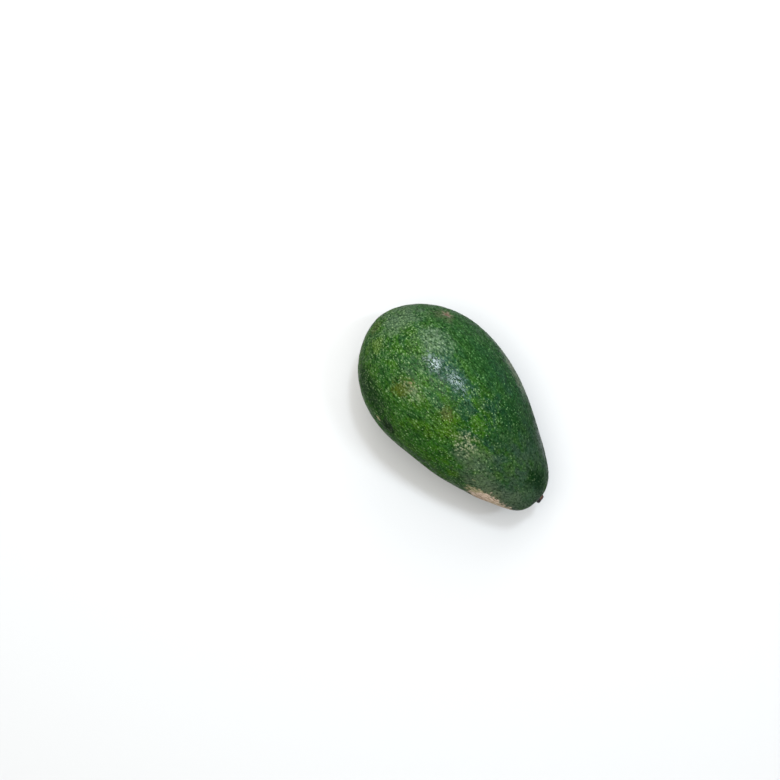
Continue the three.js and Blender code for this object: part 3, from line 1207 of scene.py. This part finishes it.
@dataclass
class StemStub:
    """The short dry stub of stalk, broken off at a slant.

    Attributes:
        form: The fruit's outline.
        seat: Where the stalk grows.
        finish: The stalk's looks.
        profile: Radius and height above the stub's bottom in mm.
        rings: How many rings each stretch of the profile is cut into.
        sides: How many sides it has.
        drying: Where it starts and ends drying out, in mm above the skin.
        oval: How far it is from round.
        creases: How many dried creases it has.
        crease: Their depth, as a share of the radius.
        warp: How far it is warped, as a share of the radius.
        warps: How many warps it has per mm.
        slant: How much the broken tip slants.
        splinter: How ragged the broken tip is, in mm.
        splinters: How many splinters it has per mm.
    """

    form: BodyForm
    seat: StemSeat
    finish: StalkFinish = StalkFinish()
    profile: tuple[tuple[float, float], ...] = (
        (0.0, 0.0),
        (1.7, 0.0),
        (2.2, 0.4),
        (2.35, 1.2),
        (2.7, 1.8),
        (2.75, 2.4),
        (2.4, 2.8),
        (2.2, 3.3),
        (2.3, 3.9),
        (2.2, 4.3),
        (1.8, 4.4),
        (1.1, 4.15),
        (0.0, 4.05),
    )
    rings: int = 4
    sides: int = 96
    drying: tuple[float, float] = (-0.5, 0.6)
    oval: float = 0.07
    creases: int = 7
    crease: float = 0.05
    warp: float = 0.05
    warps: float = 1.3
    slant: float = 0.14
    splinter: float = 0.16
    splinters: float = 1.8

    def build(self) -> bpy.types.Object:
        """Builds the stub by spinning its profile, dries and breaks it, and dresses it."""
        bm = bmesh.new()
        chain = [bm.verts.new((radius, 0.0, height)) for radius, height in self.outline()]
        edges = [bm.edges.new(pair) for pair in zip(chain, chain[1:])]
        bmesh.ops.spin(
            bm,
            geom=chain + edges,
            cent=(0, 0, 0),
            axis=(0, 0, 1),
            angle=2 * math.pi,
            steps=self.sides,
            use_merge=True,
        )
        bmesh.ops.remove_doubles(bm, verts=bm.verts, dist=1e-4)
        for vert in bm.verts:
            vert.co = self.dried(vert.co)
        bmesh.ops.recalc_face_normals(bm, faces=bm.faces)
        seated = self.seat.from_stub(self.form)
        bmesh.ops.transform(bm, matrix=seated, verts=bm.verts)
        stub = finished_object("avocado_stem_stub", bm)
        self.finish.dress(stub, seated)
        return stub

    def outline(self) -> list[tuple[float, float]]:
        """Cuts the profile finer along a smooth curve through its points."""
        points = [Vector(point) for point in self.profile]
        padded = [points[0], *points, points[-1]]
        fine = []
        for before, start, end, after in zip(padded, padded[1:], padded[2:], padded[3:]):
            for i in range(self.rings):
                t = i / self.rings
                near, far = end - before, after - start
                curve = start + near * (t / 2) + (end * 5 - start * 5 - near * 2 - far) * (t * t / 2)
                curve += (near + far + (start - end) * 3) * (t**3 / 2)
                fine.append((max(curve.x, 0.0), curve.y))
        return [*fine, self.profile[-1]]

    def dried(self, point: Vector) -> Vector:
        """Shrinks and breaks the part of the stub that stands free.

        Args:
            point: A point of the plain turned stub in mm.

        Returns:
            The point of the dried stub in mm.
        """
        turn = math.atan2(point.y, point.x)
        skin = self.seat.socket_depth
        free = smoothstep(skin + self.drying[0], skin + self.drying[1], point.z)
        folds = self.oval * math.cos(2 * turn) + self.crease * (1 + math.cos(self.creases * turn))
        radial = 1 - free * (folds - self.warp * noise.noise(point * self.warps))
        lean = free * self.slant * point.x * (point.z / skin - 1)
        across = Vector((point.x * self.splinters, point.y * self.splinters, 3.7))
        torn = free * self.splinter * noise.noise(across)
        return Vector((point.x * radial, point.y * radial, point.z + lean + torn))


# The room


@dataclass(frozen=True)
class SoftLight:
    """A soft rectangular lamp that faces the fruit.

    Attributes:
        name: The lamp's name.
        bearing: Direction round the fruit in degrees from +X.
        height: Degrees above the horizon.
        distance: How far away it is in metres.
        size: Its width and height in metres.
        watts: Its power.
        colour: Its colour.
    """

    name: str
    bearing: float
    height: float
    distance: float
    size: tuple[float, float]
    watts: float
    colour: Colour

    def hang(self, target: Vector) -> None:
        """Puts the lamp in the room, turned to the fruit.

        Args:
            target: The point that it faces.
        """
        lamp = bpy.data.lights.new(self.name, "AREA")
        lamp.shape = "RECTANGLE"
        lamp.size, lamp.size_y = self.size
        lamp.energy = self.watts
        lamp.color = self.colour
        bearing, height = math.radians(self.bearing), math.radians(self.height)
        level = math.cos(height)
        away = Vector((math.cos(bearing) * level, math.sin(bearing) * level, math.sin(height)))
        made = bpy.data.objects.new(self.name, lamp)
        made.location = target + away * self.distance
        made.rotation_euler = away.to_track_quat("Z", "Y").to_euler()
        bpy.context.scene.collection.objects.link(made)


@dataclass(frozen=True)
class Studio:
    """The plain pale floor, the soft lamps, the pale surroundings and the camera.

    Attributes:
        floor_size: Half the floor's width in metres.
        floor_colour: The floor's colour.
        floor_roughness: How dull the floor is.
        surroundings: Colour of the room's even light.
        brightness: Strength of that light.
        eye: The camera's place in metres.
        turn: How far the camera is turned about the upright, in degrees.
        lens: Its focal length in mm.
        sensor: Width of its sensor in mm.
        aim: The point that the lamps face, in metres.
        lamps: The lamps.
    """

    floor_size: float = 2.0
    floor_colour: Colour = (0.60, 0.60, 0.60)
    floor_roughness: float = 0.8
    surroundings: Colour = (0.93, 0.97, 1.0)
    brightness: float = 0.15
    eye: tuple[float, float, float] = (-0.0308, -0.01987, 0.57767)
    turn: float = 49.4
    lens: float = 50.0
    sensor: float = 36.0
    aim: tuple[float, float, float] = (0.0, 0.0, 0.035)
    lamps: tuple[SoftLight, ...] = (
        SoftLight("window_left", 124, 71, 0.9, (0.07, 0.10), 2.7, (0.82, 0.90, 1.0)),
        SoftLight("window_right", 64, 65, 0.9, (0.07, 0.15), 2.0, (0.80, 0.90, 1.0)),
        SoftLight("window_far", 130, 42, 1.3, (0.9, 0.6), 6.0, (1.0, 0.99, 0.96)),
        SoftLight("ceiling", 195, 78, 1.6, (1.7, 1.7), 37.0, (1.0, 0.99, 0.96)),
    )

    def build(self) -> None:
        """Makes the floor, lights it, and sets up the camera."""
        bm = bmesh.new()
        bmesh.ops.create_grid(bm, x_segments=8, y_segments=8, size=self.floor_size)
        floor = finished_object("floor", bm)
        nodes = Nodes("pale_floor")
        nodes.shader.inputs["Base Color"].default_value = (*self.floor_colour, 1.0)
        nodes.shader.inputs["Roughness"].default_value = self.floor_roughness
        floor.data.materials.append(nodes.material)
        for lamp in self.lamps:
            lamp.hang(Vector(self.aim))
        self.light_surroundings()
        self.set_camera()

    def light_surroundings(self) -> None:
        """Gives the room its even light, and keeps colours as they are."""
        world = bpy.data.worlds.new("room")
        world.use_nodes = True
        background = world.node_tree.nodes["Background"]
        background.inputs["Color"].default_value = (*self.surroundings, 1.0)
        background.inputs["Strength"].default_value = self.brightness
        bpy.context.scene.world = world
        bpy.context.scene.view_settings.view_transform = "Standard"

    def set_camera(self) -> None:
        """Looks straight down, turned so that the fruit points as it does in the photograph."""
        camera = bpy.data.cameras.new("camera")
        camera.lens = self.lens
        camera.sensor_width = self.sensor
        camera.clip_start = 0.01
        made = bpy.data.objects.new("camera", camera)
        made.location = self.eye
        made.rotation_euler = (0.0, 0.0, math.radians(self.turn))
        bpy.context.scene.collection.objects.link(made)
        bpy.context.scene.camera = made


def claim(piece: bpy.types.Object, node: str) -> None:
    """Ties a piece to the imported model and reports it.

    Args:
        piece: The finished piece.
        node: The CAD node that it replaces.
    """
    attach(piece, ROOT)
    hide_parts(node)
    log.info("%s: %d faces, replaces %s", piece.name, len(piece.data.polygons), node)


def main() -> None:
    """Builds the avocado's pieces in order, then the room around them."""
    logging.basicConfig(level=logging.INFO, format="%(name)s %(message)s")
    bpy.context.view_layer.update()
    form, seat, scar = BodyForm(), StemSeat(), BlossomScar()
    claim(Fruit(form, seat, scar).build(), "fruit")
    claim(StemStub(form, seat).build(), "stem_stub")
    Studio().build()


if __name__ == "__main__":
    main()
